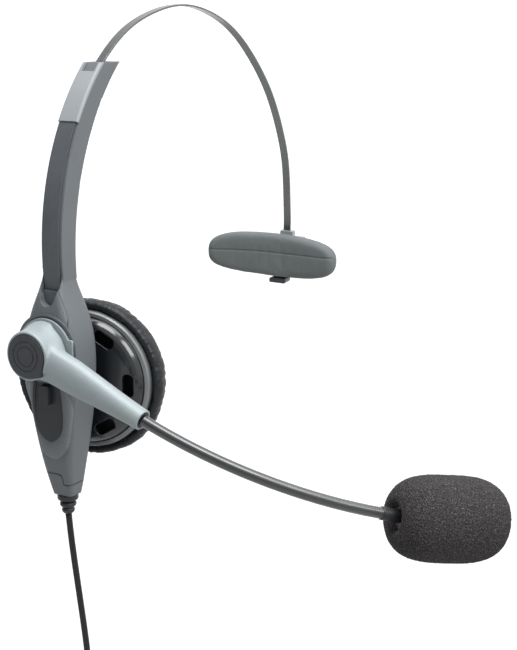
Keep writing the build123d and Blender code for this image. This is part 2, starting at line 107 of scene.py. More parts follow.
def frames_along(points, first_side=None):
    """At each point, two sideways axes that never twist."""
    ways = []
    for i in range(len(points)):
        a = points[max(i - 1, 0)]
        b = points[min(i + 1, len(points) - 1)]
        ways.append((b - a).normalized())
    side = first_side or ways[0].orthogonal()
    result = []
    for way in ways:
        side = (side - way * side.dot(way)).normalized()
        result.append((side, way.cross(side)))
    return result


def skin_faces(rings, count):
    """Faces that join rings of count points, and close both ends."""
    faces = []
    for i in range(rings - 1):
        for k in range(count):
            a, b = i * count + k, i * count + (k + 1) % count
            faces.append((a, b, b + count, a + count))
    last = (rings - 1) * count
    return faces + [tuple(reversed(range(count))), tuple(range(last, last + count))]


def tube(name, points, section, body, first_side=None):
    """A tube along points; section(i) gives its outline as sideways pairs."""
    verts = []
    for i, (at, (side, up)) in enumerate(zip(points, frames_along(points, first_side))):
        verts += [at + side * a + up * b for a, b in section(i)]
    return add_mesh(name, verts, skin_faces(len(points), len(section(0))), body)


def lathe(name, profile, centre, axis, body, sides):
    """A turned piece: profile gives (distance along the axis, radius)."""
    axis = Vector(axis).normalized()
    side = axis.orthogonal().normalized()
    up = axis.cross(side)
    verts = []
    for along, r in profile:
        for k in range(sides):
            a = 2 * math.pi * k / sides
            outward = side * math.cos(a) + up * math.sin(a)
            verts.append(centre + axis * along * MM + outward * r * MM)
    return add_mesh(name, verts, skin_faces(len(profile), sides), body)


def rounded(points, radius, steps=4):
    """A profile with each inner corner rounded by short chords."""
    pts = [Vector(p) for p in points]
    out = [pts[0]]
    for before, at, after in zip(pts, pts[1:], pts[2:]):
        a, b = before - at, after - at
        cut = min(radius, a.length * 0.45, b.length * 0.45)
        start, end = at + a.normalized() * cut, at + b.normalized() * cut
        for i in range(steps + 1):
            t = i / steps
            out.append(start.lerp(at, t).lerp(at.lerp(end, t), t))
    out.append(pts[-1])
    return [(p.x, p.y) for p in out]


def copy_of(name, node):
    """A new mesh object with a CAD node's shape, its split edges rejoined."""
    bm = bmesh.new()
    bm.from_mesh(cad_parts[node].data)
    bmesh.ops.remove_doubles(bm, verts=bm.verts, dist=1e-6)
    mesh = bpy.data.meshes.new(name)
    bm.to_mesh(mesh)
    bm.free()
    obj = bpy.data.objects.new(name, mesh)
    bpy.context.scene.collection.objects.link(obj)
    return obj


def apply_modifiers(obj):
    """Replace the mesh by what its modifiers make of it."""
    graph = bpy.context.evaluated_depsgraph_get()
    mesh = bpy.data.meshes.new_from_object(obj.evaluated_get(graph))
    obj.modifiers.clear()
    obj.data = mesh
    mesh.shade_smooth()


def remeshed(obj, voxel, passes):
    """Rebuild the surface evenly, and soften its edges by smoothing passes."""
    even = obj.modifiers.new("remesh", "REMESH")
    even.mode = "VOXEL"
    even.voxel_size = voxel
    soft = obj.modifiers.new("smooth", "SMOOTH")
    soft.iterations = passes
    soft.factor = 0.5
    apply_modifiers(obj)


CLOTH_FRAMES = 20


def inflate(obj, pressure, cap, pinned):
    """Puff a closed skin by a short cloth simulation, moving it by cap at most."""
    start = [v.co.copy() for v in obj.data.vertices]
    cloth = obj.modifiers.new("cloth", "CLOTH")
    settings = cloth.settings
    settings.quality = 5
    settings.mass = 0.1
    settings.tension_stiffness = 12
    settings.compression_stiffness = 12
    settings.bending_stiffness = 0.4
    settings.use_pressure = True
    settings.uniform_pressure_force = pressure
    settings.effector_weights.gravity = 0.0
    group = obj.vertex_groups.new(name="pinned")
    group.add([v.index for v in obj.data.vertices if pinned(v.co)], 1.0, "REPLACE")
    settings.vertex_group_mass = "pinned"
    cloth.point_cache.frame_start = 1
    cloth.point_cache.frame_end = CLOTH_FRAMES
    for number in range(1, CLOTH_FRAMES + 1):
        bpy.context.scene.frame_set(number)
    graph = bpy.context.evaluated_depsgraph_get()
    moved = [v.co.copy() for v in obj.evaluated_get(graph).data.vertices]
    obj.modifiers.clear()
    obj.vertex_groups.clear()
    bpy.context.scene.frame_set(1)
    for vertex, before, after in zip(obj.data.vertices, start, moved):
        shift = after - before
        if shift.length > cap:
            shift *= cap / shift.length
        vertex.co = before + shift


def subdivided(obj, levels=1):
    """Replace the mesh by its subdivision surface."""
    finer = obj.modifiers.new("subdivision", "SUBSURF")
    finer.levels = levels
    finer.render_levels = levels
    apply_modifiers(obj)


def displaced(obj, amount):
    """Move each vertex along its normal by amount(point, normal)."""
    places = [(v.co.copy(), v.normal.copy()) for v in obj.data.vertices]
    moved = [co + normal * amount(co, normal) for co, normal in places]
    obj.data.vertices.foreach_set("co", [value for co in moved for value in co])
    obj.data.update()


# ---------------------------------------------------------------- materials


class Nodes:
    """A small builder of node trees, one material at a time."""

    def __init__(self, name):
        self.material = bpy.data.materials.new(name)
        self.material.use_nodes = True
        self.tree = self.material.node_tree
        self.tree.nodes.clear()
        self.out = self.add("ShaderNodeOutputMaterial")
        self.shader = self.add("ShaderNodeBsdfPrincipled")
        self.link(self.shader.outputs[0], self.out.inputs["Surface"])
        self.place = self.add("ShaderNodeTexCoord").outputs["Object"]

    def add(self, kind, **values):
        node = self.tree.nodes.new(kind)
        for key, value in values.items():
            setattr(node, key, value)
        return node

    def link(self, a, b):
        self.tree.links.new(a, b)

    def stretched(self, scale):
        """Object coordinates scaled apart on each axis."""
        node = self.add("ShaderNodeMapping")
        node.inputs["Scale"].default_value = scale
        self.link(self.place, node.inputs["Vector"])
        return node.outputs[0]

    def noise(self, scale, detail=3.0, rough=0.55, vector=None):
        node = self.add("ShaderNodeTexNoise")
        node.inputs["Scale"].default_value = scale
        node.inputs["Detail"].default_value = detail
        node.inputs["Roughness"].default_value = rough
        self.link(vector or self.place, node.inputs["Vector"])
        return node.outputs["Fac"]

    def cells(self, scale, feature="F1"):
        node = self.add("ShaderNodeTexVoronoi", feature=feature)
        node.inputs["Scale"].default_value = scale
        self.link(self.place, node.inputs["Vector"])
        return node.outputs["Distance"]

    def ramp(self, value, stops):
        """Turn a value into a colour by (place, colour) stops."""
        node = self.add("ShaderNodeValToRGB")
        ramp = node.color_ramp
        while len(ramp.elements) < len(stops):
            ramp.elements.new(0.5)
        for element, (at, colour) in zip(ramp.elements, stops):
            element.position = at
            element.color = (*colour, 1.0)
        self.link(value, node.inputs["Fac"])
        return node.outputs["Color"]

    def spread(self, value, low, high):
        """Map noise, which mostly lies from 0.3 to 0.7, to a range."""
        node = self.add("ShaderNodeMapRange")
        limits = {"From Min": 0.3, "From Max": 0.7, "To Min": low, "To Max": high}
        for key, number in limits.items():
            node.inputs[key].default_value = number
        self.link(value, node.inputs["Value"])
        return node.outputs["Result"]

    def mix(self, share, a, b):
        node = self.add("ShaderNodeMix", data_type="RGBA")
        self.link(share, node.inputs["Factor"])
        self.link(a, node.inputs["A"])
        self.link(b, node.inputs["B"])
        return node.outputs["Result"]

    def bevel(self, radius):
        node = self.add("ShaderNodeBevel", samples=4)
        node.inputs["Radius"].default_value = radius
        return node.outputs[0]

    def bump(self, height, distance, strength, normal=None):
        node = self.add("ShaderNodeBump")
        node.inputs["Strength"].default_value = strength
        node.inputs["Distance"].default_value = distance
        self.link(height, node.inputs["Height"])
        if normal is not None:
            self.link(normal, node.inputs["Normal"])
        return node.outputs[0]

    def finish(self, colour, rough, normal=None, **values):
        """Link the shader's inputs; values are set on its own sockets."""
        self.link(colour, self.shader.inputs["Base Color"])
        self.link(rough, self.shader.inputs["Roughness"])
        if normal is not None:
            self.link(normal, self.shader.inputs["Normal"])
        for key, value in values.items():
            self.shader.inputs[key.replace("_", " ")].default_value = value
        return self.material


def shade(colour, factor):
    """A colour made lighter or darker."""
    return tuple(min(1.0, c * factor) for c in colour)


def drift(colour, low, high, start=0.3, end=0.7):
    """Ramp stops from a darker to a lighter tone of a colour."""
    return [(start, shade(colour, low)), (end, shade(colour, high))]


def plastic(name, colour, rough, grain=2600.0, depth=0.00003, edge=0.0004, spread=0.1, **values):
    """Moulded plastic with a fine texture and slight, broad colour drift."""
    n = Nodes(name)
    fine = n.noise(grain, 4.0, 0.6)
    broad = n.noise(60.0, 3.0)
    tone = n.ramp(broad, drift(colour, 1 - spread, 1 + spread))
    speck = n.ramp(fine, drift(colour, 1 - 1.4 * spread, 1 + 1.4 * spread, 0.35, 0.65))
    mixed = n.mix(n.spread(fine, 0.25, 0.6), tone, speck)
    normal = n.bump(fine, depth, 0.6, n.bevel(edge) if edge else None)
    return n.finish(mixed, n.spread(broad, rough - 0.05, rough + 0.07), normal, **values)


METAL_SPREAD = 0.16


def metal(name, colour, rough, stretch):
    """Metal with fine drawn lines, short along the stretch's large axis."""
    n = Nodes(name)
    grain = n.noise(900.0, 4.0, 0.6, n.stretched(stretch))
    broad = n.noise(70.0, 2.0)
    tone = n.ramp(grain, drift(colour, 1 - METAL_SPREAD, 1 + METAL_SPREAD))
    tint = n.ramp(broad, drift(colour, 0.9, 1.08))
    normal = n.bump(grain, 0.000004, 0.5, n.bevel(0.0002))
    mixed = n.mix(n.spread(broad, 0.35, 0.6), tone, tint)
    return n.finish(mixed, n.spread(grain, rough - 0.06, rough + 0.08), normal, Metallic=1.0)


SHELL_GREY = (0.122, 0.135, 0.145)
LIGHT_GREY = (0.275, 0.295, 0.31)
DARK_GREY = (0.08, 0.089, 0.098)
PANEL_GREY = (0.034, 0.04, 0.046)
SILVER = (0.3, 0.345, 0.357)
BASKET_BLACK = (0.007, 0.009, 0.0115)

shell = plastic("shell_grey", SHELL_GREY, 0.42, edge=0.001)
light_cover = plastic("cover_light", LIGHT_GREY, 0.34, spread=0.06, grain=2000.0)
dark_cover = plastic("cover_dark", DARK_GREY, 0.4, spread=0.16, grain=2200.0)
panel_dark = plastic("panel_dark", PANEL_GREY, 0.4, Specular_IOR_Level=0.4)
silver = plastic(
    "boom_silver", SILVER, 0.48, spread=0.08, depth=0.00001, edge=0.0003, Metallic=0.2,
)
cap_dark = plastic("cap_dark", (0.035, 0.04, 0.046), 0.3, spread=0.14, edge=0.0002)
black = plastic("black_plastic", (0.016, 0.017, 0.019), 0.42, edge=0.0003)
gloss = plastic(
    "basket_gloss", BASKET_BLACK, 0.15,
    grain=1500.0, depth=0.000004, edge=0.0005, Specular_IOR_Level=0.9,
)
rim = plastic("rim_grey", (0.22, 0.23, 0.235), 0.24, Metallic=0.3)
holder = plastic("holder_grey", (0.075, 0.08, 0.085), 0.4, edge=0.0003)
board = plastic("board_green", (0.02, 0.12, 0.05), 0.4, edge=0.0)
cone = plastic("cone_film", (0.25, 0.24, 0.22), 0.3, edge=0.0)
rubber = plastic(
    "soft_rubber", (0.02, 0.023, 0.025), 0.38, grain=1800.0, edge=0.0, Specular_IOR_Level=0.55,
)
band_steel = metal("band_steel", (0.2, 0.21, 0.21), 0.22, (1.0, 12.0, 1.0))
steel = metal("plain_steel", (0.6, 0.6, 0.6), 0.28, (6.0, 1.0, 1.0))
brass = metal("contact_brass", (0.85, 0.62, 0.28), 0.25, (1.0, 1.0, 6.0))


# the dish in the housing's outer cover: its middle, and its reach on Y and Z
DISH_PLACE = hub(10.4, 0.6, -20.0)
DISH_SIZE = (1.0, 0.0095, 0.0175)
DISH_DEPTH = 0.002
# painted highlight: the share of a paler tone by reach from the dish's middle, lightest near the
# rim, standing in for light on the rim's up-tilted slope
LIT_RIM_STOPS = [(0.62, (0, 0, 0)), (0.95, (0.8, 0.8, 0.8)), (0.985, (0, 0, 0))]


def dished_cover_material():
    """The shell's plastic, shaded as a shallow dish round the dark oval by a bump, with a painted
    highlight: a paler band of colour towards the dish's rim.
    """
    n = Nodes("cover_dished")
    fine = n.noise(2600.0, 4.0, 0.6)
    tone = n.ramp(fine, drift(SHELL_GREY, 0.86, 1.14, 0.35, 0.65))
    middle = n.add("ShaderNodeMapping", vector_type="TEXTURE")
    middle.inputs["Location"].default_value = DISH_PLACE
    middle.inputs["Scale"].default_value = DISH_SIZE
    n.link(n.place, middle.inputs["Vector"])
    reach = n.add("ShaderNodeVectorMath", operation="LENGTH")
    n.link(middle.outputs[0], reach.inputs[0])
    inside = n.add("ShaderNodeMath", operation="MINIMUM")
    inside.inputs[1].default_value = 1.0
    n.link(reach.outputs["Value"], inside.inputs[0])
    cube = n.add("ShaderNodeMath", operation="POWER")
    cube.inputs[1].default_value = 3.0
    n.link(inside.outputs[0], cube.inputs[0])
    dish = n.bump(cube.outputs[0], DISH_DEPTH, 1.0, n.bevel(0.0006))
    # painted highlight: the colour turns paler near the dish's rim, where the surface would catch
    # the light
    lit_rim_share = n.ramp(reach.outputs["Value"], LIT_RIM_STOPS)
    pale = n.ramp(fine, drift(SHELL_GREY, 1.6, 2.1, 0.35, 0.65))
    normal = n.bump(fine, 0.00003, 0.6, dish)
    return n.finish(n.mix(lit_rim_share, tone, pale), n.spread(fine, 0.36, 0.46), normal)


def foam_material():
    """Open foam: dark pores among small, pale strands."""
    n = Nodes("foam")
    cell = n.cells(1500.0)
    fine = n.noise(2400.0, 3.0, 0.65)
    dark, mid, light = (0.008, 0.008, 0.009), (0.034, 0.031, 0.033), (0.2, 0.185, 0.19)
    tone = n.ramp(fine, [(0.34, dark), (0.52, mid), (0.72, light)])
    pore = n.ramp(cell, [(0.12, (0.016, 0.0155, 0.017)), (0.5, (0.052, 0.049, 0.051))])
    height = n.add("ShaderNodeMath", operation="ADD")
    n.link(cell, height.inputs[0])
    n.link(fine, height.inputs[1])
    normal = n.bump(height.outputs[0], 0.0004, 0.9)
    mixed = n.mix(n.spread(fine, 0.4, 0.8), pore, tone)
    return n.finish(mixed, n.spread(fine, 0.85, 1.0), normal, Specular_IOR_Level=0.2)


def leather_material():
    """Thin leatherette, with a cellular grain and soft creases."""
    n = Nodes("cushion_skin")
    grain = n.cells(900.0, "DISTANCE_TO_EDGE")
    crease = n.noise(240.0, 4.0, 0.6)
    colour = (0.013, 0.016, 0.019)
    tone = n.ramp(crease, drift(colour, 0.7, 1.35, 0.32))
    pore = n.ramp(grain, drift(colour, 0.65, 1.1, 0.0, 0.12))
    normal = n.bump(crease, 0.0005, 0.5, n.bump(grain, 0.00006, 0.5))
    mixed = n.mix(n.spread(crease, 0.35, 0.65), tone, pore)
    return n.finish(mixed, n.spread(crease, 0.34, 0.5), normal, Specular_IOR_Level=0.35)


def pad_material():
    """The temple pad's matt, finely woven cover."""
    n = Nodes("pad_skin")
    weave = n.noise(2300.0, 4.0, 0.65)
    broad = n.noise(55.0, 3.0)
    colour = (0.12, 0.135, 0.138)
    tone = n.ramp(weave, drift(colour, 0.82, 1.2))
    patch = n.ramp(broad, drift(colour, 0.8, 1.15))
    mixed = n.mix(n.spread(broad, 0.4, 0.6), tone, patch)
    return n.finish(mixed, n.spread(weave, 0.62, 0.8), n.bump(weave, 0.00008, 0.5))


def jacket_material():
    """The lead's soft, slightly uneven jacket."""
    n = Nodes("cord_jacket")
    fine = n.noise(1200.0, 3.0)
    broad = n.noise(90.0, 2.0)
    colour = (0.018, 0.02, 0.023)
    tone = n.ramp(broad, drift(colour, 0.8, 1.25))
    speck = n.ramp(fine, drift(colour, 0.9, 1.1))
    mixed = n.mix(n.spread(fine, 0.4, 0.6), tone, speck)
    normal = n.bump(fine, 0.00002, 0.4)
    return n.finish(mixed, n.spread(broad, 0.42, 0.56), normal, Specular_IOR_Level=0.3)


def sleeve_material():
    """The gooseneck's dark, polished sleeve."""
    n = Nodes("gooseneck_sleeve")
    fine = n.noise(1800.0, 3.0)
    colour = (0.016, 0.02, 0.022)
    tone = n.ramp(fine, drift(colour, 0.85, 1.15))
    rough = n.spread(n.noise(120.0, 2.0), 0.14, 0.22)
    return n.finish(
        tone, rough, n.bump(fine, 0.000004, 0.4),
        Metallic=0.2, Specular_IOR_Level=1.0, Coat_Weight=1.0, Coat_Roughness=0.1,
    )


def cloth_material():
    """The woven cloth over the driver."""
    n = Nodes("grille_cloth")
    weave = n.cells(1600.0)
    tone = n.ramp(weave, [(0.1, (0.03, 0.03, 0.03)), (0.5, (0.006, 0.006, 0.006))])
    return n.finish(tone, n.spread(weave, 0.8, 0.95), n.bump(weave, 0.0002, 0.8))


dished_cover = dished_cover_material()
foam = foam_material()
leather = leather_material()
pad_skin = pad_material()
jacket = jacket_material()
sleeve = sleeve_material()
cloth = cloth_material()

NODE_FINISH = {
    shell: ("main_shell", "end_cap", "hub_collar"),
    dished_cover: ("housing_cover",),
    light_cover: ("arm_upper_cover", "pad_holder"),
    dark_cover: ("arm_lower_cover",),
    panel_dark: ("face_panel", "boom_stop"),
    silver: ("boom_hub", "hub_flange"),
    cap_dark: ("hub_cap",),
    steel: ("hub_shaft", "shaft_screw", "pad_pin", "strip_rivet", "driver_magnet"),
    band_steel: ("band_strip",),
    black: (
        "gooseneck_ferrule", "mic_boot",
        "swivel_post", "swivel_cross", "band_stop", "mic_capsule", "driver_frame",
        "cord_tie", "plug_body", "plug_nose",
    ),
    holder: ("pad_carrier", "pad_clip"),
    board: ("wire_board",),
    brass: ("wire_terminals", "plug_contacts"),
    rubber: ("strain_relief", "plug_boot"),
    jacket: ("cord_lead", "cord_coil", "cord_tail"),
    sleeve: ("gooseneck",),
    foam: ("foam_windscreen",),
    pad_skin: ("temple_pad",),
    gloss: ("basket",),
    rim: ("basket_rim",),
    cone: ("driver_cone",),
    cloth: ("speaker_grille",),
    leather: ("ear_cushion",),
}


def paint(obj, material):
    """Give a new piece its one material."""
    obj.data.materials.clear()
    obj.data.materials.append(material)


for material, nodes in NODE_FINISH.items():
    for node in nodes:
        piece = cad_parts[node]
        for slot in piece.material_slots:
            slot.material = material
        if not piece.material_slots:
            piece.data.materials.append(material)

# ---------------------------------------------------------------- arm

COVER_NARROWING = 0.85            # leaves the arm's rounded shoulders in sight
TONGUE_OUTER_X, TONGUE_INNER_X = 13.5, 14.5
TONGUE_TOP_Z, TONGUE_TOP_HALF = 18.4, 3.1
TONGUE_FOOT_Z, TONGUE_FOOT_R = 16.4, 2.55


def tongue_outline():
    """The dark floor of the housing's scoop, below the lower cover's end."""
    outline = [(TONGUE_TOP_HALF, TONGUE_TOP_Z)]
    for i in range(17):
        t = math.pi * i / 16
        outline.append((TONGUE_FOOT_R * math.cos(t), TONGUE_FOOT_Z - TONGUE_FOOT_R * math.sin(t)))
    return outline + [(-TONGUE_TOP_HALF, TONGUE_TOP_Z)]


def narrow_cover_with_tongue(obj):
    """Narrow the arm's lower cover, and add the scoop's dark floor to it."""
    bm = bmesh.new()
    bm.from_mesh(obj.data)
    middle_y = hub(0, 0, 0).y
    for vert in bm.verts:
        vert.co.y = middle_y + (vert.co.y - middle_y) * COVER_NARROWING
    outer, inner = [
        [bm.verts.new(hub(x, y, z)) for y, z in tongue_outline()]
        for x in (TONGUE_OUTER_X, TONGUE_INNER_X)
    ]
    bm.faces.new(outer)
    bm.faces.new(reversed(inner))
    for i in range(len(outer)):
        ahead = (i + 1) % len(outer)
        bm.faces.new((outer[i], outer[ahead], inner[ahead], inner[i]))
    bmesh.ops.recalc_face_normals(bm, faces=bm.faces)
    bm.to_mesh(obj.data)
    bm.free()


low_cover = copy_of("lower_cover", "arm_lower_cover")
narrow_cover_with_tongue(low_cover)
paint(low_cover, dark_cover)
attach(low_cover, "earpiece")
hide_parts("arm_lower_cover")

# ---------------------------------------------------------------- lead

LEAD_ROUTE = [
    (18.9, 0.0, -57.2), (19.5, -0.1, -64.0), (20.7, -0.4, -74.5), (22.1, -1.1, -88.0),
    (23.3, -1.9, -101.0), (24.0, -2.5, -112.0), (24.0, -2.8, -122.0),
]
COIL_CENTRE = (23.3, -2.8, -147.9)
TAIL_ROUTE = [(23.4, -2.7, -173.4), (23.6, -3.1, -181.3)]
LAYER = 2.45                      # from one turn's middle to the next one's
COIL_R = 13.2
JOIN_DEG = 37.0                   # where the lead meets the coil and leaves it
TURN_POINTS = 18
CROSSING = 0.25                   # the share of a turn that changes place
# layer and column of each turn, from where the lead comes in to where it leaves
TURN_PLACES = [(1, -1), (0, -1), (-1, -1), (-1, 0), (-1, 1), (0, 1), (0, 0), (1, 0), (1, 1)]


def coil_route():
    """The points of the coil's turns, wound about X."""
    x, y, z = COIL_CENTRE
    turns = len(TURN_PLACES) - 1
    total = 360.0 * turns + 2 * JOIN_DEG
    count = round(TURN_POINTS * total / 360.0)
    route = []
    for i in range(count + 1):
        swept = total * i / count
        turn = min(int(swept / 360.0), turns)
        share = swept / 360.0 - turn
        here, there = TURN_PLACES[turn], TURN_PLACES[min(turn + 1, turns)]
        t = max(0.0, (share - 1 + CROSSING) / CROSSING)
        t = t * t * (3 - 2 * t)
        layer = here[0] + (there[0] - here[0]) * t
        column = here[1] + (there[1] - here[1]) * t
        r = COIL_R + LAYER * layer
        a = math.radians(JOIN_DEG - swept)
        route.append((x + LAYER * column, y + r * math.cos(a), z + r * math.sin(a)))
    return route


def smooth_line(name, route):
    """The points of one NURBS spline that follows a route."""
    data = bpy.data.curves.new(name, "CURVE")
    data.dimensions = "3D"
    data.resolution_u = 6
    spline = data.splines.new("NURBS")
    spline.points.add(len(route) - 1)
    for point, at in zip(spline.points, route):
        point.co = (*hub(*at), 1.0)
    spline.order_u = 3
    spline.use_endpoint_u = True
    guide = bpy.data.objects.new(name, data)
    bpy.context.scene.collection.objects.link(guide)
    graph = bpy.context.evaluated_depsgraph_get()
    mesh = bpy.data.meshes.new_from_object(guide.evaluated_get(graph))
    points = [v.co.copy() for v in mesh.vertices]
    bpy.data.objects.remove(guide)
    return points


WIRE_R, WIRE_OFFSET, WIRE_SIDES = 0.76, 0.39, 9
WAIST = 0.94                      # under 1 leaves a groove between the wires


def twin_section():
    """The lead's outline: two round wires side by side under one skin."""
    outline = []
    for middle, first in ((WIRE_OFFSET, -0.5), (-WIRE_OFFSET, 0.5)):
        for k in range(WIRE_SIDES):
            a = math.pi * (first + k / (WIRE_SIDES - 1)) * WAIST
            outline.append(((middle + WIRE_R * math.cos(a)) * MM, WIRE_R * MM * math.sin(a)))
    return outline


lead_points = smooth_line("lead_line", LEAD_ROUTE + coil_route() + TAIL_ROUTE)
lead_outline = twin_section()
lead = tube("lead", lead_points, lambda i: lead_outline, "earpiece", Vector((0, 1, 0)))
paint(lead, jacket)
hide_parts("cord_lead", "cord_coil", "cord_tail")

# ---------------------------------------------------------------- relief

FOOT = hub(18.9, 0.0, -50.2)
# three rings with necks between, as distance below the foot and radius
RINGS = [(0.0, 2.9), (0.35, 3.5), (1.9, 3.5), (2.35, 2.9), (2.5, 1.9), (2.8, 1.9)]
RINGS += [(2.95, 2.4), (3.3, 2.75), (4.2, 2.7), (4.6, 2.2), (4.75, 1.7), (5.0, 1.7)]
RINGS += [(5.15, 1.95), (5.5, 2.15), (6.3, 2.1), (6.95, 1.5)]
relief = lathe("relief_rings", rounded(RINGS, 0.3), FOOT, (0, 0, -1), "earpiece", 48)
paint(relief, rubber)
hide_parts("strain_relief")

# ---------------------------------------------------------------- boom

BOOM_START = hub(4.9, -2.0, -0.8)
BOOM_END = hub(3.4, -41.7, -15.2)
ROOT_INNER_R, ROOT_OUTER_R = 6.0, 17.0
ROOT_LEAST_X = 2.2                # keeps the drum's outer rim crisp


def soften_root(obj):
    """Blend the boom's root into the drum with a wide, hollow curve."""
    group = obj.vertex_groups.new(name="root")
    way = BOOM_END - BOOM_START
    level = Vector((0, way.y, way.z)).normalized()
    for vertex in obj.data.vertices:
        local = (vertex.co - hub(0, 0, 0)) / MM
        off_axis = math.hypot(local.y, local.z)
        side = Vector((0, local.y, local.z)).normalized().dot(level)
        fades = (
            (off_axis - ROOT_INNER_R) / 1.5, (ROOT_OUTER_R - off_axis) / 5.0,
            side / 0.25, (local.x - ROOT_LEAST_X) / 1.5,
        )
        if min(fades) > 0.0:
            weight = min(1.0, *fades[:3]) * min(1.0, fades[3])
            group.add([vertex.index], weight, "REPLACE")
    blend = obj.modifiers.new("blend", "SMOOTH")
    blend.iterations = 260
    blend.factor = 0.5
    blend.vertex_group = "root"
    apply_modifiers(obj)
    obj.vertex_groups.clear()


hub_soft = copy_of("boom_arm", "boom_hub")
remeshed(hub_soft, 0.0003, 5)
soften_root(hub_soft)
paint(hub_soft, silver)
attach(hub_soft, "boom")
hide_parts("boom_hub")

GOOSE_TIP = hub(38.9, -105.3, -44.2)
GOOSE_YAW, GOOSE_PITCH = math.radians(8.0), math.radians(-25.0)
GOOSE_R, GOOSE_SIDES, GOOSE_STEPS = 1.82, 20, 640
RIB_PITCH = 0.62                  # of the neck's wound sleeve
RIB_DEPTH = 0.1


def heading(yaw, pitch):
    """A direction yaw inward from the wearer's front."""
    level = math.cos(pitch)
    return Vector((math.sin(yaw) * level, -math.cos(yaw) * level, math.sin(pitch)))


def arc_points(start, end, way, count):
    """Points of the arc that leaves start along way and ends at end."""
    chord = end - start
    across = (chord - way * chord.dot(way)).normalized()
    r = chord.length_squared / (2 * chord.dot(across))
    centre = start + across * r
    sweep = 2 * math.atan2(chord.dot(across), chord.dot(way))
    points = []
    for i in range(count):
        a = sweep * i / (count - 1)
        points.append(centre - across * r * math.cos(a) + way * r * math.sin(a))
    return points


neck_points = arc_points(BOOM_END, GOOSE_TIP, heading(GOOSE_YAW, GOOSE_PITCH), GOOSE_STEPS)
neck_length = sum((b - a).length for a, b in zip(neck_points, neck_points[1:]))


def neck_section(i):
    """A round outline whose radius follows the sleeve's wound ribs."""
    along = neck_length * i / (GOOSE_STEPS - 1)
    turns = along / (RIB_PITCH * MM)
    ring = []
    for k in range(GOOSE_SIDES):
        a = 2 * math.pi * k / GOOSE_SIDES
        wave = 0.5 + 0.5 * math.cos(2 * math.pi * turns + a)
        r = (GOOSE_R - RIB_DEPTH * (1 - wave) ** 2) * MM
        ring.append((r * math.cos(a), r * math.sin(a)))
    return ring


neck = tube("neck_sleeve", neck_points, neck_section, "boom")
paint(neck, sleeve)
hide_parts("gooseneck")

# ---------------------------------------------------------------- windscreen

MIC_PLACE = hub(38.9, -105.3, -45.4)
FOAM_WAY = heading(math.radians(51.0), math.radians(-9.0))
COLLAR_R = 2.1


def collar_points():
    """From the neck's last bit round into the foam's middle."""
    way = (neck_points[-1] - neck_points[-8]).normalized()
    start, knee = GOOSE_TIP - way * 1.2 * MM, GOOSE_TIP + way * 2.5 * MM
    end = MIC_PLACE + FOAM_WAY * 9.0 * MM
    shares = [i / 16 for i in range(17)]
    return [start.lerp(knee, t).lerp(knee.lerp(end, t), t) for t in shares]


def collar_section(_):
    """The collar's round outline."""
    angles = [math.radians(15 * k) for k in range(24)]
    return [(COLLAR_R * MM * math.cos(a), COLLAR_R * MM * math.sin(a)) for a in angles]


collar = tube("mic_collar", collar_points(), collar_section, "boom")
paint(collar, black)
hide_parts("mic_boot")

FOAM_START, FOAM_LENGTH, FOAM_R = 2.4, 38.8, 13.7
FOAM_SQUARENESS = 0.63            # 1 gives an ellipse, and less a squarer end


def foam_profile():
    """Along the axis from inside the neck's dimple round to the far end."""
    profile = [(FOAM_START + 7.5, 0.3), (FOAM_START + 7.0, 2.5), (FOAM_START + 2.4, 2.9)]
    half = FOAM_LENGTH / 2
    for i in range(3, 45):
        t = math.pi * i / 45
        along = math.copysign(abs(math.cos(t)) ** FOAM_SQUARENESS, math.cos(t))
        profile.append((FOAM_START + half * (1 - along), FOAM_R * math.sin(t) ** FOAM_SQUARENESS))
    return profile + [(FOAM_START + FOAM_LENGTH, 0.3)]


windscreen = lathe("windscreen", foam_profile(), MIC_PLACE, FOAM_WAY, "boom", 128)
subdivided(windscreen, 1)
subdivided(windscreen, 1)


def foam_cells(at, _):
    """Coarse and fine open cells of the foam's skin."""
    fine = noise.noise(at * 2100.0)
    coarse = noise.noise(at * 900.0 + Vector((3.1, 0.0, 0.0)))
    slow = noise.noise(at * 90.0)
    return (0.14 * fine + 0.08 * coarse + 0.16 * slow - 0.1) * MM


displaced(windscreen, foam_cells)
paint(windscreen, foam)
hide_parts("foam_windscreen")

# ---------------------------------------------------------------- cushion

CUSHION_R, HOLE_R = 26.6, 12.6
CUSHION_SIDES = 160
RIM_HOLD_ALONG = 4.6              # the cup's rim holds all of the skin up to here,
SEAT_ALONG, SEAT_R = 8.2, 23.6    # and its seat holds the back inside this


def cushion_profile():
    """The cushion's soft ring, from its seam on the cup round to its hole."""
    r, h, f = CUSHION_R, HOLE_R, CUSHION_FACE
    points = [(4.0, 23.6), (3.6, 24.8), (4.0, 26.0), (5.6, r - 0.1), (7.8, r), (10.2, r - 0.5)]
    points += [(12.1, r - 2.0), (f - 0.1, r - 4.6), (f, 19.6), (f - 0.2, 16.6), (f - 1.3, 14.0)]
    points += [(f - 3.2, h + 0.2), (f - 4.8, h + 0.2), (7.95, h + 0.6), (7.9, 17.0), (7.8, 22.0)]
    return points


def ring_piece(name, profile, centre, axis, body, sides):
    """A turned ring whose profile closes on itself."""
    obj = lathe(name, profile, centre, axis, body, sides)
    bm = bmesh.new()
    bm.from_mesh(obj.data)
    bm.faces.ensure_lookup_table()
    bmesh.ops.delete(bm, geom=[f for f in bm.faces if len(f.verts) > 4], context="FACES_ONLY")
    bm.verts.ensure_lookup_table()
    last = (len(profile) - 1) * sides
    for k in range(sides):
        ahead = (k + 1) % sides
        bm.faces.new([bm.verts[i] for i in (last + k, last + ahead, ahead, k)])
    bmesh.ops.recalc_face_normals(bm, faces=bm.faces)
    bm.to_mesh(obj.data)
    bm.free()
    obj.data.shade_smooth()
    return obj


